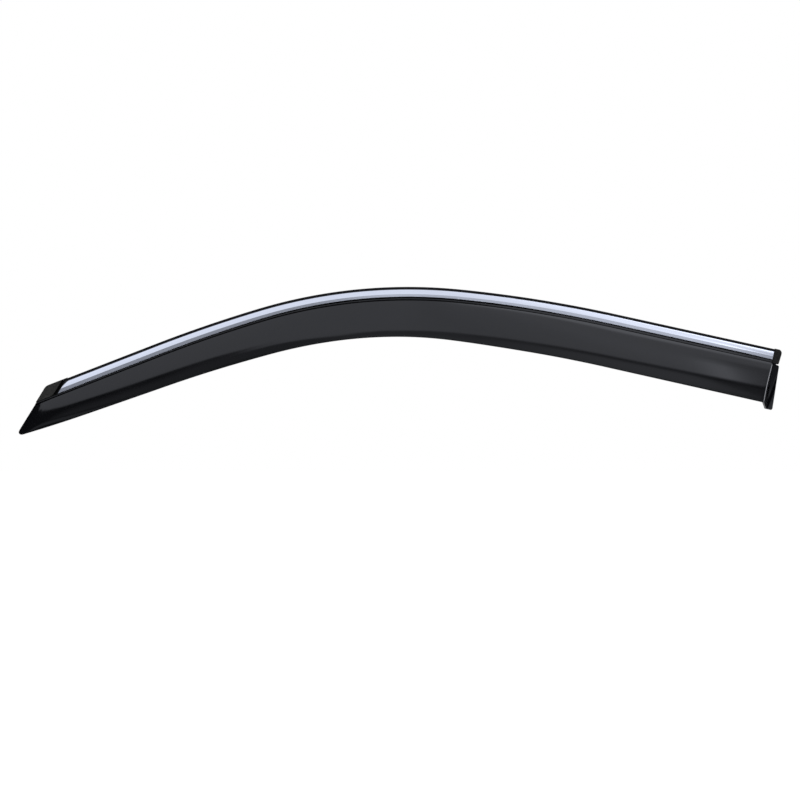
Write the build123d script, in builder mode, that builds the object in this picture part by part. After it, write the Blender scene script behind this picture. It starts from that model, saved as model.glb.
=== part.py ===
from build123d import *
import os
from math import cos, exp, radians, sin, tan

# Window rain deflector for the left front door of a car: one glossy moulding carries a bright metal
# strip, two end caps and the foam tape that sticks it to the door frame.
# X runs towards the rear of the car, Z is up and the outer face looks along -Y. The origin is on the
# adhesive face of the tape, midway across it, under the crown of the arch.
# Lengths are in millimetres and angles in degrees. In a section, "out" is measured outward from the
# back of the flange and "down" from the top edge, square to the arch.

# Arch of the top edge, seen from outside: straight front run, front, crown and shoulder arcs, rear run
front_slope = 21.2
front_bend = 4.5
crown_fall = 5.6
rear_slope = 12.4
front_radius = 1970.0
crown_radius = 730.0
shoulder_radius = 1870.0
front_run = 161.0
rear_run = 228.0

# Raked front end, measured from square across the arch
rake = 52.8
rake_fade = 240.0
nose_radius = 4.0
nose_hem = 20.0

# Flange section
flange_wall = 2.2
flange_reach = 10.5
tongue_depth = 19.2
tongue_round = 4.4
tongue_taper = 1.4
tongue_corner = 1.0
lip_width = 2.9
lip_height = 3.9
lip_round = 0.7
rib_height = 1.0
groove_width = 1.3
bead_width = 2.7
bead_height = 6.4
bead_round = 1.1
gusset_drop = 3.6
back_drop = 1.0

# Flared skirt: depth below the top edge and reach out from the flange back, from tip to rear
skirt_wall = 2.5
hem_bevel = 0.7
skirt_turn = 24.0
front_turn = 17.0
tip_turn = 4.0
root_out = 4.2
root_sink = 1.5
root_closing = 1.6
tip_depth = 50.2
knee_depth = 56.6
climb_depth = 66.0
crown_depth = 70.2
shoulder_depth = 74.8
rear_depth = 76.5
tip_flare = 3.2
front_flare = 10.5
knee_flare = 13.5
climb_flare = 18.7
crown_flare = 23.4
shoulder_flare = 23.2
rear_flare = 21.0
front_closing = 9.0
knee_length = 80.0
first_pitch = 6.0
pitch_growth = 1.25
widest_pitch = 55.0

# Rear end wall, its foot and the neck that joins the foot to the flange's tongue
end_draft = 18.0
end_lean = 3.5
end_wall_thickness = 2.5
foot_thickness = 2.5
foot_reach = 7.8
foot_drop = 7.8
foot_top = 21.0
foot_round = 2.5
neck_reach = 7.0

# Bright strip: a roll-formed channel, low at the lip, with a crease and a nearly upright face at the groove
strip_sheet = 0.5
strip_width = 11.4
strip_low = 1.1
strip_high = 4.1
strip_crown = 0.18
strip_face = 4.3
face_lean = 3.0
strip_hem = 1.5
strip_gap = 0.15
strip_bend = 0.4

# End caps
cap_length = 31.5
cap_height = 6.6
cap_rim = 0.7
cap_rim_back = 0.5
cap_gap = 0.1
cap_edge = 1.0
cap_corner = 12.0
plug_length = 9.0
plug_root = 6.0
plug_gap = 0.12

# Foam tape
tape_thickness = 1.1
tape_width = 12.0
tape_inset = 5.0
foot_tape_width = 7.0
foot_tape_inset = 4.0

# How far a trimming cut runs past the piece it trims
overcut = 10.0

# Positions across the section that follow from the widths above
strip_top = lip_width + strip_gap
strip_bottom = strip_top + strip_width
bead_top = strip_bottom + groove_width
bead_bottom = bead_top + bead_width
back_bottom = bead_bottom + back_drop
gusset_bottom = bead_bottom + gusset_drop
gusset_out = root_out - skirt_wall / 2
tape_middle = back_bottom / 2
root_down = bead_bottom - root_sink
rib_inset = strip_sheet + strip_hem + strip_gap
rib_out = flange_wall + rib_height
cap_bottom = bead_top - cap_gap
rim_out = cap_gap + cap_rim
foot_bottom = rear_depth + foot_drop

# Positions along the arch, measured from the raked corner of the top edge
climb_angle = front_slope - front_bend
climb_at = front_run + front_radius * radians(front_bend)
crown_at = climb_at + crown_radius * radians(climb_angle)
shoulder_start = crown_at + crown_radius * radians(crown_fall)
shoulder_arc = shoulder_radius * radians(rear_slope - crown_fall)
shoulder_at = shoulder_start + shoulder_arc / 2
rear_at = shoulder_start + shoulder_arc + rear_run
flange_end = rear_at + flange_reach
front_overrun = (tip_depth + foot_drop) * tan(radians(rake))

# Path of the top edge, on the back of the flange
flange_back = Plane.XZ.offset(tape_thickness)
start_run = front_run + front_overrun
rise_cos, rise_sin = cos(radians(front_slope)), sin(radians(front_slope))
climb_cos, climb_sin = cos(radians(climb_angle)), sin(radians(climb_angle))
start_reach = crown_radius * climb_sin + front_radius * (rise_sin - climb_sin) + start_run * rise_cos
start_drop = crown_radius * (1 - climb_cos) + front_radius * (climb_cos - rise_cos) + start_run * rise_sin
with BuildLine(flange_back) as arch:
    rise = PolarLine((-start_reach, tape_middle - start_drop), start_run, front_slope)
    climb = JernArc(rise @ 1, rise % 1, front_radius, -front_bend)
    crown = JernArc(climb @ 1, climb % 1, crown_radius, -(climb_angle + crown_fall))
    shoulder = JernArc(crown @ 1, crown % 1, shoulder_radius, -(rear_slope - crown_fall))
    fall = Line(shoulder @ 1, shoulder @ 1 + (shoulder % 1) * (rear_run + flange_reach))
top_edge = arch.wire()


def across(distance, turn=0.0):
    """Plane across the arch at a distance from the raked corner: local x is out, local y is down."""
    spot = top_edge.position_at(front_overrun + distance, position_mode=PositionMode.LENGTH)
    ahead = top_edge.tangent_at(front_overrun + distance, position_mode=PositionMode.LENGTH)
    return Plane(origin=spot, x_dir=(0, -1, 0), z_dir=ahead.rotate(Axis.Y, turn))


def facing(distance):
    """Plane on the flange back at a distance along the arch: local x is along, y is up, z is out."""
    spot = across(distance)
    return Plane(origin=spot.origin, x_dir=spot.z_dir, z_dir=spot.x_dir)


def blend(distance, knots):
    """Value at a distance along the arch, in straight steps between (distance, value) knots."""
    for (low_at, low), (high_at, high) in zip(knots, knots[1:]):
        if distance <= high_at:
            break
    return low + (high - low) * (distance - low_at) / (high_at - low_at)


def opened(distance):
    """Share of its full flare that the skirt has at a distance behind the raked front edge."""
    return 1 - exp(-max(0.0, distance) / front_closing)


def hem_at(distance):
    """Reach out and depth of the skirt's hem at a distance along the arch."""
    flares = (
        (0.0, front_flare),
        (knee_length, knee_flare),
        (climb_at, climb_flare),
        (crown_at, crown_flare),
        (shoulder_at, shoulder_flare),
        (rear_at, rear_flare),
    )
    depths = (
        (0.0, tip_depth),
        (knee_length, knee_depth),
        (climb_at, climb_depth),
        (crown_at, crown_depth),
        (shoulder_at, shoulder_depth),
        (rear_at, rear_depth),
    )
    flare = tip_flare + (blend(distance, flares) - tip_flare) * opened(distance)
    return Vector(flare, blend(distance, depths) - hem_bevel)


def skirt_arc(distance, stretch=1.0):
    """Start, middle, end and centre of the skirt's outer arc, with depths stretched by a raked cut."""
    hem = hem_at(distance)
    root = Vector(root_out - root_closing * (1 - opened(distance)), root_down * stretch)
    chord = Vector(hem.X, hem.Y * stretch) - root
    turns = ((0.0, front_turn), (knee_length, front_turn), (climb_at, skirt_turn), (rear_at, skirt_turn))
    half_turn = radians(tip_turn + (blend(distance, turns) - tip_turn) * opened(distance)) / 2
    radius = chord.length / (2 * sin(half_turn))
    inward = Vector(-chord.Y, chord.X).normalized()
    centre = root + chord * 0.5 + inward * (radius * cos(half_turn))
    return root, centre - inward * radius, root + chord, centre


def moved_in(point, centre, amount):
    """Point moved by an amount towards the centre of the skirt's arc."""
    return point + (centre - point).normalized() * amount


def rake_at(distance):
    """Turn of a skirt station: raked at the front end, fading to square across the arch."""
    share = min(1.0, max(0.0, distance / rake_fade))
    return rake * (1 - share**2 * (3 - 2 * share))


def skirt_stations(end):
    """Distances of the skirt's sections: close together at the front edge, wider towards the rear."""
    spots = [-first_pitch, 0.0]
    pitch = first_pitch
    while spots[-1] < end:
        spots.append(spots[-1] + pitch)
        pitch = min(widest_pitch, pitch * pitch_growth)
    return [spot * end / spots[-1] for spot in spots]


def rear_end_plane(inset=0.0):
    """Outer plane of the rear end wall, through the hem's corner: drafted and leaning."""
    corner = across(rear_at)
    hem = hem_at(rear_at)
    slope = corner.z_dir + corner.x_dir * tan(radians(end_draft)) - corner.y_dir * tan(radians(end_lean))
    spot = corner.from_local_coords(hem)
    return Plane(origin=spot - slope.normalized() * inset, z_dir=slope)


def wall_foot(down):
    """Distance past the hem's corner at which the end wall meets the flange back, at a depth."""
    return rear_flare * tan(radians(end_draft)) - (rear_depth - down) * tan(radians(end_lean))


def nose_corner():
    """Sharp corner of the tip on the front run, and the directions of its raked edge and its hem."""
    tip = Vector(-tip_depth * tan(radians(rake)), -tip_depth)
    depth = hem_at(nose_hem).Y + hem_bevel
    hem = Vector(nose_hem - depth * tan(radians(rake_at(nose_hem))), -depth)
    return tip, (-tip).normalized(), (hem - tip).normalized()


def raked_outline(start, end, top, bottom):
    """Corners of a raked strip on the front run, from start to end along the top edge."""
    slant = tan(radians(rake))
    return (
        (start - top * slant, -top),
        (end - top * slant, -top),
        (end - bottom * slant, -bottom),
        (start - bottom * slant, -bottom),
    )


def tongue_outline(grow=0.0):
    """Outline of the flange's rear tongue, tapered and rounded, grown for the cap around it."""
    with BuildSketch(mode=Mode.PRIVATE) as outline:
        with BuildLine():
            Polyline((0, grow), (flange_reach + grow, grow),
                     (flange_reach + grow - tongue_taper, -tongue_depth - grow),
                     (0, -tongue_depth - grow), close=True)
        make_face()
        fillet(outline.vertices().sort_by(Axis.X)[-1], tongue_round + grow)
        fillet(outline.vertices().group_by(Axis.Y)[0].sort_by(Axis.X)[-1], tongue_corner + grow)
    return outline.sketch


# Rear end wall: a drafted plate between the skirt and the flange back, running down to the foot
with BuildPart() as end_wall:
    with BuildSketch(across(rear_at - end_wall_thickness)):
        *spots, centre = skirt_arc(rear_at)
        with BuildLine():
            edge = ThreePointArc(*(moved_in(spot, centre, skirt_wall / 2) for spot in spots))
            Polyline(edge @ 1, (foot_thickness, foot_bottom), (0, foot_bottom), (0, bead_top),
                     (root_out, bead_top), edge @ 0)
        make_face()
    extrude(amount=end_wall_thickness + wall_foot(foot_bottom) + overcut)
    split(bisect_by=rear_end_plane(), keep=Keep.BOTTOM)
    split(bisect_by=rear_end_plane(end_wall_thickness), keep=Keep.TOP)

# Flange: lip, flat seat with its locating rib, and a plain tongue at each end for the caps
with BuildPart() as flange:
    with BuildSketch(across(-front_overrun)) as flange_section:
        with BuildLine():
            Polyline((0, 0), (lip_height, 0), (lip_height, lip_width), (flange_wall, lip_width),
                     (flange_wall, tongue_depth), (0, tongue_depth), close=True)
        make_face()
        fillet(flange_section.vertices().group_by(Axis.X)[-1], lip_round)
        with Locations((rib_out / 2, (strip_top + strip_bottom) / 2)):
            Rectangle(rib_out, strip_width - 2 * rib_inset)
    sweep(path=top_edge)
    with BuildSketch(facing(0).offset(flange_wall)):
        rib_start = cap_length + plug_length + plug_gap
        past_front = -front_overrun - overcut
        Polygon(*raked_outline(past_front, cap_length, -lip_width, lip_width), align=None)
        Polygon(*raked_outline(past_front, rib_start, 0, bead_top), align=None)
    extrude(amount=lip_height, mode=Mode.SUBTRACT)
    with BuildSketch(facing(rear_at).offset(flange_wall)):
        with Locations((0, lip_width)):
            Rectangle(flange_reach + overcut, tongue_depth + overcut, align=(Align.MIN, Align.MAX))
        with Locations((0, -lip_width)):
            Rectangle(plug_length + plug_gap, bead_top - lip_width, align=(Align.MAX, Align.MAX))
    extrude(amount=lip_height, mode=Mode.SUBTRACT)
    with BuildSketch(facing(rear_at)):
        with Locations((0, overcut)):
            Rectangle(flange_reach + overcut, tongue_depth + 2 * overcut, align=(Align.MIN, Align.MAX))
        add(tongue_outline(), mode=Mode.SUBTRACT)
    extrude(amount=lip_height, mode=Mode.SUBTRACT)

# Body: bead and gusset, flared skirt lofted along the arch, end wall, flange and foot in one moulding
with BuildPart() as visor_body:
    for spot in skirt_stations(rear_at + wall_foot(foot_bottom)):
        turn = rake_at(spot)
        with BuildSketch(across(spot, turn)):
            start, middle, end, centre = skirt_arc(spot, 1 / cos(radians(turn)))
            with BuildLine():
                outer = ThreePointArc(start, middle, end)
                inner = ThreePointArc(
                    moved_in(end, centre, skirt_wall),
                    moved_in(middle, centre, skirt_wall),
                    moved_in(start, centre, skirt_wall),
                )
                beyond = (outer % 1) * hem_bevel
                Polyline(end, moved_in(end, centre, hem_bevel) + beyond,
                         moved_in(end, centre, skirt_wall - hem_bevel) + beyond, inner @ 0)
                Line(inner @ 1, start)
            make_face()
    loft()
    with BuildSketch(across(-front_overrun)) as bead_section:
        with BuildLine():
            Polyline((0, strip_top), (flange_wall, strip_top), (flange_wall, bead_top),
                     (bead_height, bead_top), (bead_height, bead_bottom), (gusset_out, bead_bottom),
                     (gusset_out, gusset_bottom), (0, back_bottom), close=True)
        make_face()
        fillet(bead_section.vertices().group_by(Axis.X)[-1], bead_round)
    sweep(path=top_edge)
    split(bisect_by=rear_end_plane(), keep=Keep.BOTTOM)
    add(end_wall.part)
    with BuildSketch(facing(rear_at).offset(flange_wall)):
        cap_room = tongue_depth + rim_out + cap_gap
        Rectangle(flange_reach + overcut, cap_room, align=(Align.MIN, Align.MAX))
    extrude(amount=bead_height, mode=Mode.SUBTRACT)
    add(flange.part)
    split(bisect_by=across(0, rake), keep=Keep.TOP)
    with BuildSketch(facing(rear_at)) as foot:
        with BuildLine():
            Polyline((wall_foot(foot_top) - end_wall_thickness, -foot_top),
                     (wall_foot(foot_top) + foot_reach, -foot_top),
                     (wall_foot(foot_bottom) + foot_reach, -foot_bottom),
                     (wall_foot(foot_bottom) - end_wall_thickness, -foot_bottom), close=True)
        make_face()
        fillet(foot.vertices().sort_by(Axis.X)[-2:], foot_round)
    extrude(amount=foot_thickness)
    with BuildSketch(facing(rear_at)):
        with Locations((0, -tongue_depth + rim_out)):
            Rectangle(neck_reach, foot_top - tongue_depth + 2 * rim_out, align=(Align.MIN, Align.MAX))
    extrude(amount=flange_wall)
    with BuildSketch(facing(0)):
        tip, up_rake, along_hem = nose_corner()
        inward = (up_rake + along_hem).normalized()
        half_angle = radians(up_rake.get_angle(along_hem)) / 2
        reach = nose_radius / tan(half_angle)
        with BuildLine():
            nose_middle = tip + inward * nose_radius * (1 / sin(half_angle) - 1)
            nose = ThreePointArc(tip + up_rake * reach, nose_middle, tip + along_hem * reach)
            Polyline(nose @ 1, tip + (along_hem - inward) * reach, tip - inward * reach,
                     tip + (up_rake - inward) * reach, nose @ 0)
        make_face()
    extrude(amount=crown_flare, both=True, mode=Mode.SUBTRACT)


def strip_outline(inset=0.0):
    """Face across the bright strip, closed at the flange, drawn inside the sheet by an inset."""
    with BuildSketch(mode=Mode.PRIVATE) as outline:
        with BuildLine():
            sides = Polyline((flange_wall + strip_low, strip_top), (flange_wall, strip_top),
                             (flange_wall, strip_bottom), (flange_wall + strip_high, strip_bottom))
            crease = Vector(sides @ 1) - Vector(strip_face * tan(radians(face_lean)), strip_face)
            Line(sides @ 1, crease)
            SagittaArc(sides @ 0, crease, -strip_crown)
        make_face()
        if inset:
            offset(amount=-inset, kind=Kind.INTERSECTION, mode=Mode.REPLACE)
    return outline.sketch


# Bright strip: sheet channel with its edges hemmed in under it, seated on the flange over the rib
with BuildPart() as trim_strip:
    with BuildSketch(across(-front_overrun)) as strip_section:
        add(strip_outline())
        fillet(strip_section.vertices().group_by(Axis.X)[1:], strip_bend)
        add(strip_outline(strip_sheet), mode=Mode.SUBTRACT)
        with Locations((flange_wall, (strip_top + strip_bottom) / 2)):
            Rectangle(2 * strip_sheet, strip_width - 2 * (strip_sheet + strip_hem), mode=Mode.SUBTRACT)
    sweep(path=top_edge)
    split(bisect_by=across(cap_length + strip_gap, rake), keep=Keep.TOP)
    split(bisect_by=across(rear_at - strip_gap), keep=Keep.BOTTOM)

# Front cap: raked lid over the end of the flange, with a rim round its edges and a plug in the strip
with BuildPart() as front_cap:
    with BuildSketch(facing(0).offset(cap_rim_back)) as front_outline:
        rim_start = -rim_out / cos(radians(rake))
        Polygon(*raked_outline(rim_start, cap_length, -rim_out, cap_bottom), align=None)
        fillet(front_outline.vertices().group_by(Axis.Y)[-1].sort_by(Axis.X)[0], cap_corner)
    extrude(amount=cap_height - cap_rim_back)
    fillet(front_cap.faces().sort_by(Axis.Y)[0].edges(), cap_edge)
    with BuildSketch(facing(0)):
        room_start = -cap_gap / cos(radians(rake))
        room_end = cap_length + overcut
        Polygon(*raked_outline(room_start, room_end, -cap_gap, cap_bottom + overcut), align=None)
    extrude(amount=flange_wall, mode=Mode.SUBTRACT)
    with BuildSketch(across(cap_length - cap_bottom * tan(radians(rake)))):
        add(strip_outline(strip_sheet + plug_gap))
    extrude(amount=cap_bottom * tan(radians(rake)) + plug_length)
    split(bisect_by=across(cap_length + plug_length, rake), keep=Keep.BOTTOM)

# Rear cap: rounded lid over the flange's rear tongue, with a rim round its edges and a plug in the strip
with BuildPart() as rear_cap:
    with BuildSketch(facing(rear_at).offset(cap_rim_back)):
        add(tongue_outline(rim_out))
    extrude(amount=cap_height - cap_rim_back)
    fillet(rear_cap.faces().sort_by(Axis.Y)[0].edges(), cap_edge)
    with BuildSketch(facing(rear_at)):
        add(tongue_outline(cap_gap))
        with Locations((0, -tongue_depth)):
            Rectangle(neck_reach + cap_gap, 2 * rim_out, align=(Align.MIN, Align.CENTER))
    extrude(amount=flange_wall, mode=Mode.SUBTRACT)
    with BuildSketch(across(rear_at - plug_length)):
        add(strip_outline(strip_sheet + plug_gap))
    extrude(amount=plug_length + plug_root)

# Foam tape on the back of the flange
with BuildPart() as flange_tape:
    with BuildSketch(across(-front_overrun)):
        with Locations((-tape_thickness / 2, tape_middle)):
            Rectangle(tape_thickness, tape_width)
    sweep(path=top_edge)
    split(bisect_by=across(tape_inset / cos(radians(rake)), rake), keep=Keep.TOP)
    split(bisect_by=across(flange_end - tape_inset), keep=Keep.BOTTOM)

# Foam tape on the back of the foot
with BuildPart() as foot_tape:
    with BuildSketch(facing(rear_at)):
        tape_top = foot_top + foot_tape_inset
        tape_bottom = foot_bottom - foot_tape_inset
        middle = (foot_reach - end_wall_thickness) / 2
        with BuildLine():
            Polyline((wall_foot(tape_top) + middle - foot_tape_width / 2, -tape_top),
                     (wall_foot(tape_top) + middle + foot_tape_width / 2, -tape_top),
                     (wall_foot(tape_bottom) + middle + foot_tape_width / 2, -tape_bottom),
                     (wall_foot(tape_bottom) + middle - foot_tape_width / 2, -tape_bottom), close=True)
        make_face()
    extrude(amount=-tape_thickness)

os.makedirs("parts", exist_ok=True)
pieces = {
    "visor_body": visor_body,
    "trim_strip": trim_strip,
    "front_cap": front_cap,
    "rear_cap": rear_cap,
    "flange_tape": flange_tape,
    "foot_tape": foot_tape,
}
for label, piece in pieces.items():
    piece.part.label = label
    export_step(piece.part, f"parts/{label}.step")
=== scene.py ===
from math import asin, cos, exp, pi, radians, sin, tan

import bmesh
import bpy
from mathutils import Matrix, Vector


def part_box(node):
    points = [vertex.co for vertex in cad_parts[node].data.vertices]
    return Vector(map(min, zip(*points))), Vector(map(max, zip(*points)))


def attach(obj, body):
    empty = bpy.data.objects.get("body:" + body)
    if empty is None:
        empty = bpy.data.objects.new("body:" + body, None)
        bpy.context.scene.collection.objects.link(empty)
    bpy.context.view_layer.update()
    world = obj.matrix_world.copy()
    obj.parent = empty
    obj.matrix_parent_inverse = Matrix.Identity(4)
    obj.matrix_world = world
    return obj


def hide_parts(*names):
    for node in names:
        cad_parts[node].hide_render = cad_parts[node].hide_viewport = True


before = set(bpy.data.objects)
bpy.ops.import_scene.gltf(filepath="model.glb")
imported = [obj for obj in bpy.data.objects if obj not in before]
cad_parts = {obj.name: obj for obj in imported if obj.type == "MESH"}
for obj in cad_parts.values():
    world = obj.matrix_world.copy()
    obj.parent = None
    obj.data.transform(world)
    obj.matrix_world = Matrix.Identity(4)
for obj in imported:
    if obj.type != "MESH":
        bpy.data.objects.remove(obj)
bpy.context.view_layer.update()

# Visor body
# One injection moulding in polished black acrylic: a flange with a top lip and a rounded bead, and a thin
# skirt that flares outward below it. The skirt closes in at the raked front end; a drafted wall with a flat
# foot closes the rear end. All sizes are metres; "out" is away from the door, "down" is from the top edge.

# Top edge, seen from outside: straight front run, front, crown and shoulder arcs, straight rear run
front_slope = radians(21.2)
climb_slope = radians(16.7)
crown_fall = radians(5.6)
rear_slope = radians(12.4)
front_radius = 1.970
crown_radius = 0.730
shoulder_radius = 1.870
front_run = 0.161
rear_run = 0.228
front_arc = front_radius * (front_slope - climb_slope)
crown_arc = crown_radius * (climb_slope + crown_fall)
shoulder_arc = shoulder_radius * (rear_slope - crown_fall)
climb_at = front_run + front_arc
crown_at = climb_at + crown_radius * climb_slope
shoulder_at = climb_at + crown_arc + shoulder_arc / 2
rear_at = climb_at + crown_arc + shoulder_arc + rear_run

# Section across the flange and the bead, whose face slants and whose lower edge drops towards the rear
flange_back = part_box("flange_tape")[0].y
flange_wall = 0.0022
lip_width = 0.0033
lip_height = 0.0039
lip_round = 0.0004
seat_edge = 0.0157
bead_bottom = 0.01845
bead_height = 0.0064
bead_round = 0.00125
bead_tightening = 0.5
bead_knots = (0, crown_at, shoulder_at, rear_at)
bead_slants = (0, 0, 0.0012, 0.0014)
bead_growths = (0, 0, 0.0006, 0.0007)
back_bottom = 0.01945
crown_top = back_bottom / 2
cap_length = 0.0315
edge_round = 0.00035

# Skirt: depth below the top edge, reach out from the flange back and turn of its arc, from tip to rear
skirt_wall = 0.0025
root_out = 0.0042
root_down = 0.01695
root_cover = 0.0223
root_closing = 0.0016
gusset_out = 0.7
gusset_down = 0.2
tip_turn = radians(4)
tip_flare = 0.0032
tip_depth = 0.0502
tip_run = 0.080
front_closing = 0.009
front_turn = radians(17)
rear_turn = radians(24)
hem_round = 0.0009
hem_bevel = 0.0007
skirt_knots = (0, tip_run, climb_at, crown_at, shoulder_at, rear_at)
skirt_depths = (tip_depth, 0.0566, 0.0660, 0.0702, 0.0748, 0.0765)
skirt_flares = (0.0105, 0.0135, 0.0187, 0.0234, 0.0232, 0.0210)
skirt_turns = (front_turn, front_turn, rear_turn, rear_turn, rear_turn, rear_turn)
rake = radians(52.8)
rake_fade = 0.240
nose_radius = 0.004
nose_hem = 0.020

# Steps along the curves of a section, and the angle from which an edge is drawn sharp
skirt_steps = 40
lining_steps = 24
gusset_steps = 5
hem_steps = 6
bead_steps = 7
corner_steps = 5
edge_steps = 4
back_steps = 4
sharp_angle = radians(32)


def arch_at(distance):
    """Place on the top edge (x, z) and its heading, at a distance from the raked corner."""
    heading = front_slope
    reach = (crown_radius * sin(climb_slope) + front_radius * (sin(front_slope) - sin(climb_slope))
             + front_run * cos(front_slope))
    drop = (crown_radius * (1 - cos(climb_slope)) + front_radius * (cos(climb_slope) - cos(front_slope))
            + front_run * sin(front_slope))
    x, z = -reach, crown_top - drop
    for run, radius in ((front_run, 0), (front_arc, front_radius), (crown_arc, crown_radius),
                        (shoulder_arc, shoulder_radius)):
        step = min(distance, run)
        if radius and step > 0:
            turned = heading - step / radius
            x += radius * (sin(heading) - sin(turned))
            z += radius * (cos(turned) - cos(heading))
            heading = turned
        elif not radius:
            x += step * cos(heading)
            z += step * sin(heading)
        distance -= step
    return x + distance * cos(heading), z + distance * sin(heading), heading


def placed(distance, out, down, turn=0.0):
    """Point of a section across the arch, raked by a turn; down is measured square to the arch."""
    x, z, heading = arch_at(distance)
    along = -down * tan(turn)
    return Vector((
        x + along * cos(heading) + down * sin(heading),
        flange_back - out,
        z + along * sin(heading) - down * cos(heading),
    ))


def smooth_between(distance, knots, values):
    """Value at a distance on a smooth curve through knots, level at its peaks, straight past its ends."""
    count = len(knots)
    slopes = [(values[i + 1] - values[i]) / (knots[i + 1] - knots[i]) for i in range(count - 1)]
    bends = [slopes[0]]
    for before, after in zip(slopes, slopes[1:]):
        bends.append(0.0 if before * after <= 0 else 2 * before * after / (before + after))
    bends.append(slopes[-1])
    i = max(0, min(count - 2, sum(distance >= knot for knot in knots) - 1))
    span = knots[i + 1] - knots[i]
    t = (distance - knots[i]) / span
    if t < 0:
        return values[i] + bends[i] * (t * span)
    if t > 1:
        return values[i + 1] + bends[i + 1] * (t - 1) * span
    return ((1 + 2 * t) * (1 - t) ** 2 * values[i] + t * (1 - t) ** 2 * span * bends[i]
            + t * t * (3 - 2 * t) * values[i + 1] + t * t * (t - 1) * span * bends[i + 1])


def rake_at(distance, start=0.0):
    """Turn of a section: raked at the front end, fading to square across the arch."""
    share = min(1.0, max(0.0, (distance - start) / rake_fade))
    return rake * (1 - share * share * (3 - 2 * share))


def nose_limit(distance):
    """Greatest depth that the tip's rounded nose leaves to a raked section; no limit past the nose."""
    depth = smooth_between(nose_hem, skirt_knots, skirt_depths)
    hem = Vector((nose_hem - depth * tan(rake_at(nose_hem)) + tip_depth * tan(rake), tip_depth - depth))
    angle = Vector((sin(rake), cos(rake))).angle(hem)
    reach = nose_radius / tan(angle / 2)
    inward = distance * cos(rake)
    if inward > reach * sin(angle):
        return tip_depth * 2
    low = reach - (nose_radius**2 - (nose_radius - inward) ** 2) ** 0.5
    return tip_depth - (low - distance * sin(rake)) * cos(rake)


def bead_edge_at(distance):
    """Depth of the bead's lower edge."""
    return bead_bottom + smooth_between(distance, bead_knots, bead_growths)


def quarter_turn(steps):
    """Angles from 0 to 90 degrees."""
    return [pi / 2 * k / steps for k in range(steps + 1)]


def round_corner(corner, before, after, radius, steps=corner_steps):
    """Points of an arc that rounds a corner between two neighbours of an outline."""
    corner, before, after = Vector(corner), Vector(before), Vector(after)
    a, b = (before - corner).normalized(), (after - corner).normalized()
    half = a.angle(b) / 2
    centre = corner + (a + b).normalized() * radius / sin(half)
    start = corner + a * radius / tan(half) - centre
    end = corner + b * radius / tan(half) - centre
    sweep = pi - 2 * half
    return [centre + (start * sin(sweep * (1 - k / steps)) + end * sin(sweep * k / steps)) / sin(sweep)
            for k in range(steps + 1)]


def bent(start, corner, end, shares):
    """Points at some shares of a curve that leaves the start and meets the end towards a corner."""
    return [start * (1 - t) ** 2 + corner * 2 * t * (1 - t) + end * t * t for t in shares]


def skirt_lines(distance, stretch):
    """Outer line, hem and inner line of the skirt at a station, as (out, raked depth) points."""
    opened = 1 - exp(-max(0.0, distance) / front_closing)
    flare = tip_flare + (smooth_between(distance, skirt_knots, skirt_flares) - tip_flare) * opened
    depth = smooth_between(distance, skirt_knots, skirt_depths)
    top = Vector((root_out - root_closing * (1 - opened), root_down * stretch))
    chord = Vector((flare, (depth - hem_bevel) * stretch)) - top
    turn = smooth_between(distance, skirt_knots, skirt_turns)
    half_turn = (tip_turn + (turn - tip_turn) * opened) / 2
    radius = chord.length / (2 * sin(half_turn))
    centre = top + chord / 2 + Vector((-chord.y, chord.x)).normalized() * radius * cos(half_turn)
    lowest = min(depth, nose_limit(distance)) * stretch

    def angle_at(level, size):
        return asin((level - centre.y) / size)

    def arc(start, end, size, steps):
        angles = [start + (end - start) * k / steps for k in range(steps + 1)]
        return [centre + Vector((cos(angle), sin(angle))) * size for angle in angles]

    first = angle_at(bead_edge_at(distance) * stretch, radius)
    last = angle_at(lowest - hem_round, radius)
    inner_first = angle_at(root_cover * stretch, radius - skirt_wall)
    outer = arc(first, last, radius, skirt_steps)
    inner = arc(last, inner_first, radius - skirt_wall, lining_steps)
    normal = Vector((cos(last), sin(last)))
    tangent = Vector((-sin(last), cos(last)))
    angles = quarter_turn(hem_steps)
    hem = []
    for middle, start, end, turns in ((outer[-1] - normal * hem_round, normal, tangent, angles[1:]),
                                      (inner[0] + normal * hem_round, tangent, -normal, angles[:-1])):
        hem += [middle + (start * cos(turned) + end * sin(turned)) * hem_round for turned in turns]
    return outer, hem, inner


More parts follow.
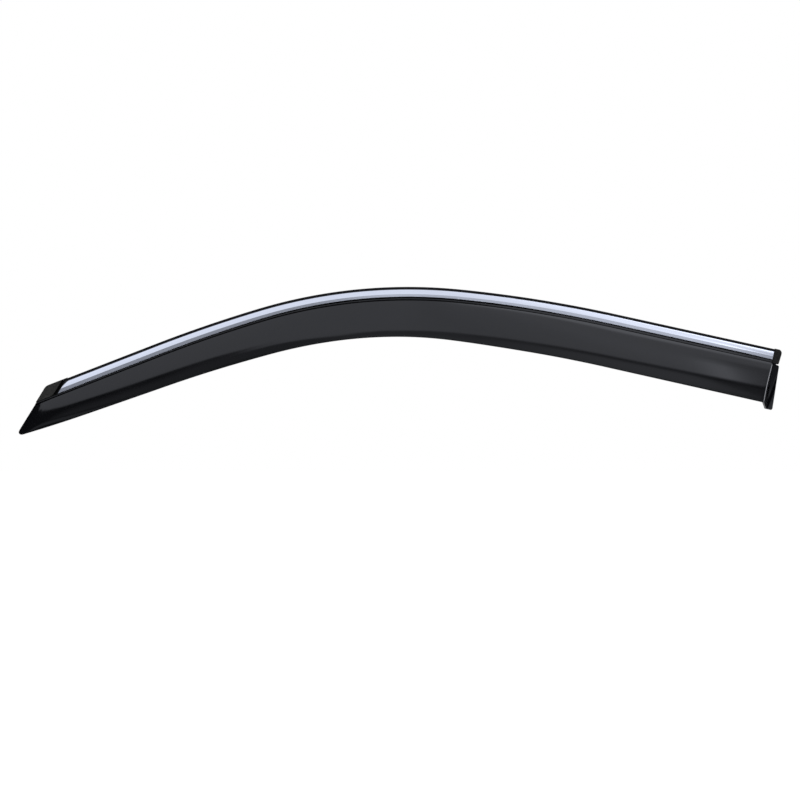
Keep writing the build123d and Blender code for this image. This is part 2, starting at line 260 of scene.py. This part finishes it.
def body_outline(distance, turn):
    """Closed outline of the body's section at a station, as (out, raked depth) points."""
    stretch = 1 / cos(turn)
    under_cap = distance < cap_length
    top = flange_wall if under_cap else lip_height
    rounding = edge_round if under_cap else lip_round
    outline = [Vector((0, back_bottom * k / back_steps)) for k in range(back_steps, 0, -1)]
    outline += [Vector((0, edge_round)), Vector((edge_round, 0))]
    outline += round_corner((top, 0), (0, 0), (top, 1), rounding)
    if under_cap:
        lip_points = corner_steps + 1
        outline += [Vector((top, lip_width * k / lip_points)) for k in range(1, lip_points + 1)]
    else:
        outline += round_corner((top, lip_width), (top, 0), (0, lip_width), rounding)
    seat_middle = (lip_width + seat_edge) / 2
    outline += [Vector((flange_wall, down)) for down in (lip_width, seat_middle, seat_edge)]
    slant = smooth_between(distance, bead_knots, bead_slants)
    bead_edge = bead_edge_at(distance)
    bead_corner = bead_round - slant * bead_tightening
    upper, lower = (bead_height - slant, seat_edge), (bead_height, bead_edge)
    outline += round_corner(upper, (0, seat_edge), lower, bead_corner, bead_steps)
    outline += round_corner(lower, upper, (0, bead_edge), bead_corner, bead_steps)
    outline = [Vector((point.x, point.y * stretch)) for point in outline]
    outer, hem, inner = skirt_lines(distance, stretch)
    start, end = inner[-1], Vector((0, back_bottom * stretch))
    corner = Vector((start.x * gusset_out, end.y + (start.y - end.y) * gusset_down))
    gusset = bent(start, corner, end, [k / gusset_steps for k in range(1, gusset_steps)])
    return outline + outer + hem + inner + gusset


def shrunk(outline, amount):
    """Closed outline moved inward by an amount, point by point."""
    moved = []
    for before, point, after in zip(outline[-1:] + outline, outline, outline[1:] + outline[:1]):
        side = (after - before).normalized()
        moved.append(point + Vector((-side.y, side.x)) * amount)
    return moved


def skinned(name, loops):
    """Closed mesh object over a row of loops of points, with both ends filled."""
    mesh = bpy.data.meshes.new(name)
    skin = bmesh.new()
    rows = [[skin.verts.new(point) for point in loop] for loop in loops]
    for row, later in zip(rows, rows[1:]):
        for k in range(len(row)):
            skin.faces.new((row[k - 1], row[k], later[k], later[k - 1]))
    skin.faces.new(rows[0])
    skin.faces.new(reversed(rows[-1]))
    bmesh.ops.recalc_face_normals(skin, faces=skin.faces)
    skin.to_mesh(mesh)
    skin.free()
    piece = bpy.data.objects.new(name, mesh)
    bpy.context.scene.collection.objects.link(piece)
    return piece


def joined(piece, others):
    """Fuses other closed meshes into a piece and shades it smooth up to its real edges."""
    for other in others:
        fuse = piece.modifiers.new(other.name, "BOOLEAN")
        fuse.operation = "UNION"
        fuse.solver = "EXACT"
        fuse.object = other
    graph = bpy.context.evaluated_depsgraph_get()
    fused = bpy.data.meshes.new_from_object(piece.evaluated_get(graph))
    piece.modifiers.clear()
    piece.data = fused
    for other in others:
        bpy.data.objects.remove(other)
    fused.shade_smooth()
    fused.set_sharp_from_angle(angle=sharp_angle)
    return piece


# Stations along the arch, close together at the front edge, with a step where the lip begins at the cap
fine_pitch = 0.0005
pitch_growth = 1.15
coarse_pitch = 0.004
lip_step = 0.0001
stations = [edge_round / cos(rake)]
pitch = fine_pitch
while stations[-1] < rear_at - coarse_pitch:
    stations.append(stations[-1] + pitch)
    pitch = min(coarse_pitch, pitch * pitch_growth)
stations = [station for station in stations if abs(station - cap_length) > fine_pitch]
stations = sorted(stations + [cap_length - lip_step, cap_length])

# Rear end plane: through the hem's corner, drafted and leaning
end_draft = radians(18)
end_lean = radians(3.5)
end_wall = 0.0025
wall_set_in = 0.001
corner_out = skirt_flares[-1]
corner_down = skirt_depths[-1] - hem_bevel
cap_room = 0.0201


def end_plane(out, down):
    """How far past the last station the rear end wall's outer face lies at a point of the section."""
    return (corner_out - out) * tan(end_draft) + (down - corner_down) * tan(end_lean)


# Skin of flange, bead and skirt: the rounded raked end, the stations, and a last loop in the end wall
body_loops = []
for tilt in quarter_turn(edge_steps)[:-1]:
    outline = shrunk(body_outline(0.0, rake), edge_round * (1 - sin(tilt)))
    step = edge_round * (1 - cos(tilt)) / cos(rake)
    body_loops.append([placed(step, point.x, point.y * cos(rake), rake) for point in outline])
for station in stations:
    turn = rake_at(station)
    outline = body_outline(station, turn)
    body_loops.append([placed(station, point.x, point.y * cos(turn), turn) for point in outline])
last_loop = []
for point in body_outline(rear_at, 0.0):
    past = end_plane(point.x, point.y) - wall_set_in if point.y > cap_room else 0
    last_loop.append(placed(rear_at + past, point.x, point.y))
visor_body = skinned("visor_body_skin", body_loops + [last_loop])

# Rear end wall, from the skirt to the door side, and down to the bottom of the foot
foot_wall = 0.0025
foot_drop = 0.0078
foot_bottom = skirt_depths[-1] + foot_drop
corner_round = 0.0012
wall_steps = 5
skin_gap = 0.00002
outer, hem, _ = skirt_lines(rear_at, 1.0)
wall_outline = [point for point in outer if point.y > cap_room] + hem[:hem_steps + 1]
wall_outline = [point - Vector((skin_gap, 0)) for point in wall_outline]
wall_outline += [Vector((foot_wall, foot_bottom)), Vector((0, foot_bottom)), Vector((0, cap_room))]
wall_outline += [Vector((wall_outline[0].x, cap_room))]
wall_slope = (1 + tan(end_draft) ** 2 + tan(end_lean) ** 2) ** 0.5
wall_rounds = [(corner_round * (1 - sin(tilt)), corner_round * (1 - cos(tilt)))
               for tilt in quarter_turn(wall_steps)]
wall_loops = []
for inset, depth in wall_rounds + [(0, end_wall)]:
    wall_loops.append([placed(rear_at + end_plane(p.x, p.y) - depth * wall_slope, p.x, p.y)
                       for p in shrunk(wall_outline, inset)])
wall = skinned("end_wall_skin", wall_loops)

# Flat foot beside the wall, the flange's tongue under the rear cap, and the neck between them
foot_top = 0.021
foot_reach = 0.0078
foot_round = 0.0025
tongue_depth = 0.0192
tongue_reach = 0.0105
tongue_taper = 0.0014
tongue_round = 0.0044
tongue_corner = 0.001
neck_reach = 0.007
neck_overlap = 0.0008
neck_root = 0.001
plate_steps = 6
tongue_steps = 8
foot_low = foot_bottom - skin_gap
foot_plan = [Vector((end_plane(0, foot_top) - end_wall / 2, foot_top)),
             Vector((end_plane(0, foot_bottom) - end_wall / 2, foot_low))]
upper, lower = (Vector((end_plane(0, down) + foot_reach, down)) for down in (foot_top, foot_low))
foot_plan += round_corner(lower, foot_plan[1], upper, foot_round, plate_steps)
foot_plan += round_corner(upper, lower, foot_plan[0], foot_round, plate_steps)
tongue_plan = [Vector((-tongue_reach / 2, skin_gap)), Vector((-tongue_reach / 2, tongue_depth))]
upper, lower = Vector((tongue_reach, skin_gap)), Vector((tongue_reach - tongue_taper, tongue_depth))
tongue_plan += round_corner(lower, tongue_plan[1], upper, tongue_corner, plate_steps)
tongue_plan += round_corner(upper, lower, tongue_plan[0], tongue_round, tongue_steps)
neck_top, neck_bottom = tongue_depth - neck_overlap, foot_top + neck_overlap
neck_plan = [Vector((-neck_root, neck_top)), Vector((-neck_root, neck_bottom)),
             Vector((neck_reach, neck_bottom)), Vector((neck_reach, neck_top))]


def plate(name, plan, thick):
    """Flat plate on the flange's back plane, past the last station, with its outer edges rounded."""
    rounds = [(edge_round * (1 - cos(tilt)), thick - skin_gap - edge_round * (1 - sin(tilt)))
              for tilt in quarter_turn(edge_steps)]
    plate_loops = []
    for inset, out in [(0, skin_gap)] + rounds:
        plate_loops.append([placed(rear_at + point.x, out, point.y) for point in shrunk(plan, -inset)])
    return skinned(name, plate_loops)


foot = plate("foot_skin", foot_plan, foot_wall)
tongue = plate("tongue_skin", tongue_plan, flange_wall)
neck = plate("neck_skin", neck_plan, flange_wall - skin_gap)
visor_body = joined(visor_body, [wall, foot, tongue, neck])


def fill(tree, target, inputs):
    """Sets a node's inputs, or links them where a value comes from another node."""
    for key, value in inputs.items():
        if isinstance(value, bpy.types.NodeSocket):
            tree.links.new(value, target.inputs[key])
        else:
            target.inputs[key].default_value = value


def node_maker(tree):
    """Function that adds a node to a tree, with its settings and its inputs."""
    def node(kind, inputs=None, **settings):
        made = tree.nodes.new(kind)
        for key, value in settings.items():
            setattr(made, key, value)
        fill(tree, made, inputs or {})
        return made

    return node


def new_material(name):
    """New node material and a maker of its nodes."""
    material = bpy.data.materials.new(name)
    material.use_nodes = True
    return material, node_maker(material.node_tree)


def dress(material, inputs):
    """Gives the material's surface shader its inputs."""
    fill(material.node_tree, material.node_tree.nodes["Principled BSDF"], inputs)


def coat(piece, material):
    """Gives a piece one material all over."""
    piece.data.materials.clear()
    piece.data.materials.append(material)


mottle_detail = 4
grain_detail = 3


def finish_group():
    """Shared surface finish: a soft mottle, a roughness that follows it, and a fine grain height."""
    group = bpy.data.node_groups.new("moulded_finish", "ShaderNodeTree")
    for name, value in (("Grain Scale", 1500.0), ("Mottle Scale", 25.0), ("Low", 0.1), ("High", 0.2)):
        socket = group.interface.new_socket(name, in_out="INPUT", socket_type="NodeSocketFloat")
        socket.default_value = value
    for name in ("Roughness", "Mottle", "Grain"):
        group.interface.new_socket(name, in_out="OUTPUT", socket_type="NodeSocketFloat")
    node = node_maker(group)
    into = node("NodeGroupInput")
    place = node("ShaderNodeTexCoord").outputs["Object"]
    mottle = node("ShaderNodeTexNoise", {
        "Vector": place, "Scale": into.outputs["Mottle Scale"], "Detail": mottle_detail})
    grain = node("ShaderNodeTexNoise", {
        "Vector": place, "Scale": into.outputs["Grain Scale"], "Detail": grain_detail})
    spread = node("ShaderNodeMapRange", {
        "Value": mottle.outputs["Fac"], "To Min": into.outputs["Low"], "To Max": into.outputs["High"]})
    node("NodeGroupOutput", {
        "Roughness": spread.outputs["Result"],
        "Mottle": mottle.outputs["Fac"],
        "Grain": grain.outputs["Fac"],
    })
    return group


moulded_finish = finish_group()


def finished(node, grain, mottle, low, high):
    """Outputs of the shared finish, placed in a material with its own scales and range of roughness."""
    values = {"Grain Scale": grain, "Mottle Scale": mottle, "Low": low, "High": high}
    return node("ShaderNodeGroup", values, node_tree=moulded_finish).outputs


def between(node, share, first, second):
    """Colour between a first and a second one, by a share. A Mix node's colours are inputs 6 and 7."""
    return node("ShaderNodeMix", {"Factor": share, 6: first, 7: second}, data_type="RGBA").outputs[2]


acrylic_dark = (0.0016, 0.0017, 0.0022, 1)
acrylic_light = (0.0030, 0.0031, 0.0038, 1)
acrylic_gleam = (0.87, 0.90, 1.0, 1)
acrylic_index = 1.5


def polished_acrylic():
    """Deep gloss black acrylic, cool in its reflections, with a faint mottle from the mould."""
    material, node = new_material("polished_acrylic")
    finish = finished(node, grain=900.0, mottle=18.0, low=0.05, high=0.11)
    dress(material, {
        "Base Color": between(node, finish["Mottle"], acrylic_dark, acrylic_light),
        "Roughness": finish["Roughness"],
        "IOR": acrylic_index,
        "Specular Tint": acrylic_gleam,
    })
    return material


coat(visor_body, polished_acrylic())
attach(visor_body, "root")
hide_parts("visor_body")

# Bright strip
# A roll-formed channel of thin bright metal: a slanting upper face, a crease and a nearly upright lower
# face, with the edges hemmed in underneath. It lies over the flange's seat, held by the end caps' plugs.
strip_sheet = 0.0005
strip_top = 0.0035
strip_bottom = 0.0146
upper_rise = 0.0011
lower_rise = 0.0041
strip_low = flange_wall + upper_rise
strip_high = flange_wall + lower_rise
strip_crown = 0.00018
strip_face = 0.0043
face_lean = radians(3)
strip_hem = 0.0020
strip_bend = 0.0004
strip_gap = 0.00015
strip_start = cap_length + strip_gap
strip_end = rear_at - strip_gap

# The lower face is taller at the ends than at the crown
face_knots = (strip_start, 0.200, 0.300, 0.450, 0.650, 0.780, 0.930, 1.000, strip_end)
face_growths = (0.0009, 0.0007, 0.0001, -0.0006, -0.0006, 0.0003, 0.0000, -0.0002, 0.0005)

# Steps along the strip and its bends, and shares of its two faces at which the section has points
strip_steps = 280
bend_steps = 6
face_steps = 14
upper_shares = [k / face_steps for k in range(face_steps)] + [0.975, 0.993]
lower_shares = (0.012, 0.04, 0.3, 0.6, 0.85)


def strip_outline(growth):
    """Closed outline of the channel's sheet, as (out, down) points; growth makes its lower face taller."""
    strip_edge = strip_bottom + growth
    low, high = Vector((strip_low, strip_top)), Vector((strip_high, strip_edge))
    crease = high - Vector((tan(face_lean), 1)) * (strip_face + growth)
    chord = crease - low
    normal = Vector((chord.y, -chord.x)).normalized()
    face = [low + chord * t + normal * strip_crown * 4 * t * (1 - t) for t in upper_shares]
    face += [crease.lerp(high, t) for t in lower_shares] + [high]
    keep = [p for p in face if strip_bend < (p - low).length and strip_bend < (p - high).length]

    def bend(corner, before, after):
        start = corner + (before - corner).normalized() * strip_bend
        end = corner + (after - corner).normalized() * strip_bend
        return bent(start, corner, end, [k / bend_steps for k in range(bend_steps + 1)])

    skin = [Vector((flange_wall, strip_top + strip_hem)), Vector((flange_wall, strip_top))]
    skin += bend(low, skin[-1], keep[0]) + keep + bend(high, keep[-1], Vector((0, strip_edge)))
    skin += [Vector((flange_wall, strip_edge)), Vector((flange_wall, strip_edge - strip_hem))]
    lining = shrunk(skin, strip_sheet)
    lining[0] = Vector((flange_wall + strip_sheet, strip_top + strip_hem))
    lining[1] = Vector((flange_wall + strip_sheet, strip_top + strip_sheet))
    lining[-2] = Vector((flange_wall + strip_sheet, strip_edge - strip_sheet))
    lining[-1] = Vector((flange_wall + strip_sheet, strip_edge - strip_hem))
    return skin + lining[::-1]


strip_loops = []
for k in range(strip_steps + 1):
    station = strip_start + (strip_end - strip_start) * k / strip_steps
    turn = rake_at(station, strip_start)
    growth = smooth_between(station, face_knots, face_growths)
    strip_loops.append([placed(station, point.x, point.y, turn) for point in strip_outline(growth)])
trim_strip = joined(skinned("trim_strip_skin", strip_loops), [])

metal_dark = (0.640, 0.690, 0.840, 1)
metal_light = (0.690, 0.740, 0.880, 1)


def rolled_bright_metal():
    """Bright rolled metal with a cool cast and a faint mottle in its colour and its gloss."""
    material, node = new_material("rolled_bright_metal")
    finish = finished(node, grain=2500.0, mottle=30.0, low=0.07, high=0.12)
    dress(material, {
        "Base Color": between(node, finish["Mottle"], metal_dark, metal_light),
        "Roughness": finish["Roughness"],
        "Metallic": 1.0,
    })
    return material


coat(trim_strip, rolled_bright_metal())
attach(trim_strip, "root")
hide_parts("trim_strip")

# End caps
# Two small black mouldings with a fine spark-eroded grain. Each is a lid over the end of the flange with a
# plug that is pressed into the open end of the bright strip. On the front one the grain stops short of the
# strip, where a band is painted black as shade and given a lower roughness.
front_shades = ((0.0030, 0.0030, 0.0031, 1), (0.0230, 0.0230, 0.0225, 1))
rear_shades = ((0.0008, 0.0008, 0.0010, 1), (0.0060, 0.0060, 0.0064, 1))
cap_gleam = 0.30
cap_bump = 0.6
cap_grain = 0.0004
# Band beside the strip on the front cap: painted shade, black, smoother and without grain
rim_width = 0.0045
rim_fade = 0.0015
rim_painted_shade = (0.0004, 0.0004, 0.0005, 1)
rim_roughness = 0.12
rim_top = placed(strip_start, 0, 0, rake)
rim_run = (placed(strip_start, 0, seat_edge, rake) - rim_top).normalized()
rim_side = Vector((rim_run.z, 0, -rim_run.x))


def calculated(node, operation, *values):
    """Result of a Math node on two or three values."""
    return node("ShaderNodeMath", dict(enumerate(values)), operation=operation).outputs[0]


def mapped(node, value, start, end, most=1.0, clamp=True):
    """Share from 0 up to the most, as a value goes from start to end."""
    limits = {"Value": value, "From Min": start, "From Max": end, "To Max": most}
    return node("ShaderNodeMapRange", limits, clamp=clamp).outputs["Result"]


def grained_moulding(name, shades, painted_rim):
    """Matte black moulding between two shades: fine grain, uneven sheen, and on request a painted-shade
    rim.
    """
    material, node = new_material(name)
    finish = finished(node, grain=900.0, mottle=260.0, low=0.24, high=0.55)
    colour = between(node, finish["Mottle"], *shades)
    roughness, grain = finish["Roughness"], finish["Grain"]
    # Painted shade: the band beside the strip turns black, smoother and without grain
    if painted_rim:
        spot = node("ShaderNodeTexCoord").outputs["Object"]
        ahead = node("ShaderNodeVectorMath", {0: spot, 1: rim_side}, operation="DOT_PRODUCT")
        edge = rim_side.dot(rim_top) + rim_width
        share = mapped(node, ahead.outputs["Value"], edge, edge + rim_fade)
        colour = between(node, share, rim_painted_shade, colour)
        roughness = node("ShaderNodeMix", {"Factor": share, 2: rim_roughness, 3: roughness}).outputs[0]
        grain = calculated(node, "MULTIPLY", grain, share)
    bump = node("ShaderNodeBump", {"Height": grain, "Strength": cap_bump, "Distance": cap_grain})
    dress(material, {
        "Base Color": colour,
        "Roughness": roughness,
        "Specular IOR Level": cap_gleam,
        "Normal": bump.outputs["Normal"],
    })
    return material


for name, shades, painted_rim in (("front_cap", front_shades, True), ("rear_cap", rear_shades, False)):
    coat(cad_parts[name], grained_moulding(name + "_moulding", shades, painted_rim))

# Foam tape
# Double-sided closed-cell foam along the back of the flange and behind the foot. A red release film still
# covers the adhesive face that goes on the door.
foam_dark = (0.012, 0.012, 0.013, 1)
foam_light = (0.050, 0.050, 0.052, 1)
foam_bump = 0.3
foam_pore = 0.0002
film_dark = (0.42, 0.018, 0.016, 1)
film_light = (0.52, 0.030, 0.026, 1)
film_facing = 0.9


def foam_with_film():
    """Dark foam with open pores on its cut sides, and a red film on the face that looks at the door."""
    material, node = new_material("foam_with_film")
    finish = finished(node, grain=1800.0, mottle=60.0, low=0.25, high=0.40)
    normal = node("ShaderNodeNewGeometry").outputs["True Normal"]
    facing = node("ShaderNodeSeparateXYZ", {"Vector": normal})
    filmed = calculated(node, "GREATER_THAN", facing.outputs["Y"], film_facing)
    foam = between(node, finish["Grain"], foam_dark, foam_light)
    film = between(node, finish["Mottle"], film_dark, film_light)
    bump = node("ShaderNodeBump", {"Height": finish["Grain"], "Strength": foam_bump, "Distance": foam_pore})
    dress(material, {
        "Base Color": between(node, filmed, foam, film),
        "Roughness": finish["Roughness"],
        "Normal": bump.outputs["Normal"],
    })
    return material


tape_finish = foam_with_film()
for name in ("flange_tape", "foot_tape"):
    coat(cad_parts[name], tape_finish)

# Studio
# A pale floor well below the part, white surroundings and a soft key light above the camera. Five sheets
# show only in the gloss: a graded wall far behind the camera, a net before its right side, a dark flag at
# the left, a dark cloth below, and a bright card at the right.
white = (1, 1, 1, 1)
black = (0, 0, 0, 1)
floor_white = (0.85, 0.85, 0.85, 1)
floor_roughness = 0.9
floor_lift = 0.5
floor_level = -0.75
floor_half = 40.0

# Places and sizes of the sheets
wall_distance = 12.0
wall_half = 30.0
wall_height = 30.0
flag_side = -3.0
flag_half = 3.5
flag_top = 9.0
cloth_level = -0.70
cloth_half = 0.75
cloth_front = 1.7
cloth_back = 0.25
cloth_black = (0.01, 0.01, 0.01, 1)
cloth_roughness = 1.0
card_side = 5.0
card_half = 2.5
card_top = 3.0
card_strength = 6.0
net_distance = 2.0
net_left = 0.3
net_right = 1.6
net_bottom = 0.10
net_top = 2.05

# Paint of the wall: its range across in metres and up in degrees, and the slanting light at its top
paint_left = -10.0
paint_right = 5.0
paint_rise = radians(30)
edge_middle = 0.6
top_slant = 2.2
top_start = 25.8
top_full = 27.0

# Weave of the net: the lean of its threads, its glow, and the steeper dark wedge
net_slant = 0.205
net_glow = 6.0
wedge_slant = 4.0
wedge_start = 2.90
wedge_full = 3.04
wedge_dark = 0.72

# What the studio's surfaces share: no gloss, and a white glow for those that are given its strength
studio_surface = {"Base Color": black, "Specular IOR Level": 0.0, "Emission Color": white}


def floor_paint():
    """White floor that takes the shadow, lifted a little where the camera looks at it."""
    material, node = new_material("floor_paint")
    seen = node("ShaderNodeLightPath").outputs["Is Camera Ray"]
    dress(material, studio_surface | {
        "Base Color": floor_white,
        "Roughness": floor_roughness,
        "Emission Strength": calculated(node, "MULTIPLY", seen, floor_lift),
    })
    return material


def across_and_up(node):
    """Place on an upright sheet that faces the part: metres across and metres up."""
    split = node("ShaderNodeSeparateXYZ", {"Vector": node("ShaderNodeTexCoord").outputs["Object"]})
    return split.outputs["X"], split.outputs["Z"]


def levels(node, value, stops):
    """Grey level that eases from stop to stop as a value grows."""
    ramp = node("ShaderNodeValToRGB", {"Fac": value})
    ramp.color_ramp.interpolation = "EASE"
    spots = ramp.color_ramp.elements
    for k, (place_at, level) in enumerate(stops):
        spot = spots[k] if k < 2 else spots.new(place_at)
        spot.position = place_at
        spot.color = (level, level, level, 1)
    return ramp.outputs["Color"]


def wall_paint():
    """Glowing wall: light above a waving edge, a dim band and low glows below it, black at the bottom."""
    material, node = new_material("wall_paint")
    across, up = across_and_up(node)
    width = mapped(node, across, paint_left, paint_right)
    height = mapped(node, up, 0.0, wall_distance * tan(paint_rise), clamp=False)

    def by_height(value, *stops):
        rises = [(tan(radians(angle)) / tan(paint_rise), level) for angle, level in stops]
        return levels(node, value, rises)

    def by_width(*stops):
        span = paint_right - paint_left
        return levels(node, width, [((x - paint_left) / span, level) for x, level in stops])

    edge = by_width((-9.4, 0.0), (-7.4, 0.13), (-5.7, 0.35), (-4.4, 0.49), (-3.4, 0.6), (-2.9, 0.6),
                    (-2.5, 0.64), (-2.2, 0.77), (-1.5, 0.77), (-1.1, 0.66), (-0.6, 0.6))
    from_middle = calculated(node, "SUBTRACT", height, edge_middle)
    light = by_height(calculated(node, "ADD", from_middle, edge), (22.6, 0), (24.6, 1))
    light_side = by_width((-7, 1.06), (-5, 1.0), (-3, 0.97), (0, 0.98), (1.0, 0.92), (2.0, 1.0),
                          (3.2, 1.14), (4.4, 1.08))
    below_light = calculated(node, "SUBTRACT", 1.0, light)
    band_height = by_height(height, (8.0, 0), (11.0, 1), (16.0, 1), (20.5, 0.8))
    band = calculated(node, "MULTIPLY", band_height, below_light)
    band_side = by_width((-3.2, 0.03), (-2.4, 0.24), (-1.6, 0.27), (-1.1, 0.40), (-0.6, 0.45), (0.7, 0.45),
                         (1.3, 0.36), (1.8, 0.24))
    rear_glow = by_height(height, (7.5, 0), (9.5, 1), (19.0, 1), (22.0, 0))
    rear_side = by_width((0.8, 0), (1.3, 0.2), (1.8, 0.42))
    low_glow = by_height(height, (3.4, 0), (4.6, 1), (7.4, 1), (9.0, 0))
    low_side = by_width((-0.46, 0.36), (-0.35, 0.48), (-0.23, 0.62), (-0.1, 0.85), (0.02, 0.90),
                        (0.15, 0.52), (0.28, 0.66))
    slanted = calculated(node, "MULTIPLY_ADD", across, top_slant, up)
    top = mapped(node, slanted, top_start, top_full)
    top_side = by_width((1.6, 0), (3.0, 1.1))
    total = calculated(node, "MULTIPLY", light, light_side)
    for level, side in ((band, band_side), (rear_glow, rear_side), (low_glow, low_side), (top, top_side)):
        total = calculated(node, "ADD", total, calculated(node, "MULTIPLY", level, side))
    dress(material, studio_surface | {"Emission Strength": total})
    return material


def net_weave():
    """Net that dims the wall towards the rear, with a soft glow at its near edge and a dark low wedge."""
    material, node = new_material("net_weave")
    side, up = across_and_up(node)
    across = calculated(node, "MULTIPLY_ADD", up, -net_slant, side)
    height = mapped(node, up, 0.0, net_top)
    thread = levels(node, across, [(0.575, 0), (0.609, 0.12), (0.635, 0.22), (0.656, 0.28), (0.679, 0.40),
                                   (0.71, 0.45)])
    fade = levels(node, height, [(0.84, 1), (1.0, 0)])
    cover = calculated(node, "MULTIPLY", thread, fade)
    steep = calculated(node, "MULTIPLY_ADD", across, wedge_slant, up)
    wedge = mapped(node, steep, wedge_start, wedge_full, most=wedge_dark)
    wedge_height = levels(node, height, [(0.32, 1), (0.36, 0)])
    dark = calculated(node, "MULTIPLY", wedge, wedge_height)
    glow_width = levels(node, across, [(0.56, 0.7), (0.60, 0.85), (0.635, 1), (0.648, 0.8), (0.664, 0.12),
                                       (0.675, 0)])
    glow_height = levels(node, height, [(0.345, 0), (0.41, 1), (0.67, 1), (0.80, 0.4), (0.90, 0.1)])
    glow = calculated(node, "MULTIPLY", glow_width, glow_height)
    dress(material, studio_surface | {
        "Emission Strength": calculated(node, "MULTIPLY", glow, net_glow),
        "Alpha": calculated(node, "MAXIMUM", cover, dark),
    })
    return material


def card_glow():
    """Glowing card that draws a thin highlight on the rear corner."""
    material, _ = new_material("card_glow")
    dress(material, studio_surface | {"Emission Strength": card_strength})
    return material


def flag_cloth():
    """Black cloth of the flag at the left and of the sheet below."""
    material, _ = new_material("flag_cloth")
    dress(material, studio_surface | {"Base Color": cloth_black, "Roughness": cloth_roughness})
    return material


def stage_sheet(name, corners, material):
    """Flat four-cornered sheet of the studio."""
    mesh = bpy.data.meshes.new(name)
    mesh.from_pydata(corners, [], [(0, 1, 2, 3)])
    mesh.materials.append(material)
    sheet = bpy.data.objects.new(name, mesh)
    bpy.context.scene.collection.objects.link(sheet)
    return sheet


def level_corners(left, right, front, back, height):
    """Corners of a level sheet."""
    return [(left, front, height), (right, front, height), (right, back, height), (left, back, height)]


def upright_corners(start, end, bottom, top):
    """Corners of an upright sheet over a line from a start to an end, both as (x, y)."""
    return [(*start, bottom), (*end, bottom), (*end, top), (*start, top)]


floor_corners = level_corners(-floor_half, floor_half, -floor_half, floor_half, floor_level)
cloth_corners = level_corners(-cloth_half, cloth_half, -cloth_front, cloth_back, cloth_level)
wall_line = (-wall_half, -wall_distance), (wall_half, -wall_distance)
flag_line = (flag_side, -flag_half), (flag_side, flag_half)
card_line = (card_side, -card_half), (card_side, card_half)
net_line = (net_left, -net_distance), (net_right, -net_distance)
black_cloth = flag_cloth()
stage_sheet("floor", floor_corners, floor_paint())
for name, corners, material in (
    ("reflected_wall", upright_corners(*wall_line, floor_level, wall_height), wall_paint()),
    ("dark_flag", upright_corners(*flag_line, floor_level, flag_top), black_cloth),
    ("dark_cloth", cloth_corners, black_cloth),
    ("rim_card", upright_corners(*card_line, floor_level, card_top), card_glow()),
    ("rear_net", upright_corners(*net_line, net_bottom, net_top), net_weave()),
):
    sheet = stage_sheet(name, corners, material)
    sheet.visible_camera = False
    sheet.visible_diffuse = False
    sheet.visible_shadow = False

# Surroundings: white where they are seen or mirrored, softer as light on the part
world_light = 0.65
world_white = 1.0
world = bpy.data.worlds.new("studio")
bpy.context.scene.world = world
world.use_nodes = True
world_node = node_maker(world.node_tree)
path = world_node("ShaderNodeLightPath")
seen = path.outputs["Is Camera Ray"]
for kind in ("Is Glossy Ray", "Is Transmission Ray"):
    seen = calculated(world_node, "MAXIMUM", seen, path.outputs[kind])
strength = world_node("ShaderNodeMapRange", {"Value": seen, "To Min": world_light, "To Max": world_white})
background = world.node_tree.nodes["Background"]
fill(world.node_tree, background, {"Color": white, "Strength": strength.outputs["Result"]})

# Key light, aimed at the part
key_width = 4.0
key_depth = 2.5
key_power = 120.0
key_place = (-0.5, -3.0, 3.2)
key = bpy.data.lights.new("key", "AREA")
key.shape = "RECTANGLE"
key.size = key_width
key.size_y = key_depth
key.energy = key_power
key_lamp = bpy.data.objects.new("key", key)
key_lamp.location = key_place
key_lamp.rotation_euler = (-Vector(key_place)).to_track_quat("-Z", "Y").to_euler()
key_lamp.visible_glossy = False
bpy.context.scene.collection.objects.link(key_lamp)

# Camera
# Square on to the outer face, from far enough away that the section shows no perspective. The width of the
# frame at the part sets the lens.
camera_distance = 8.0
camera_side = -0.01121
camera_height = -0.1486
frame_width = 1.12
sensor_width = 36.0
far_limit = 200.0
camera_data = bpy.data.cameras.new("camera")
camera_data.sensor_width = sensor_width
camera_data.lens = sensor_width * camera_distance / frame_width
camera_data.clip_end = far_limit
camera = bpy.data.objects.new("camera", camera_data)
camera.location = (camera_side, -camera_distance, camera_height)
camera.rotation_euler = (pi / 2, 0, 0)
bpy.context.scene.collection.objects.link(camera)
bpy.context.scene.camera = camera
bpy.context.scene.view_settings.view_transform = "Standard"
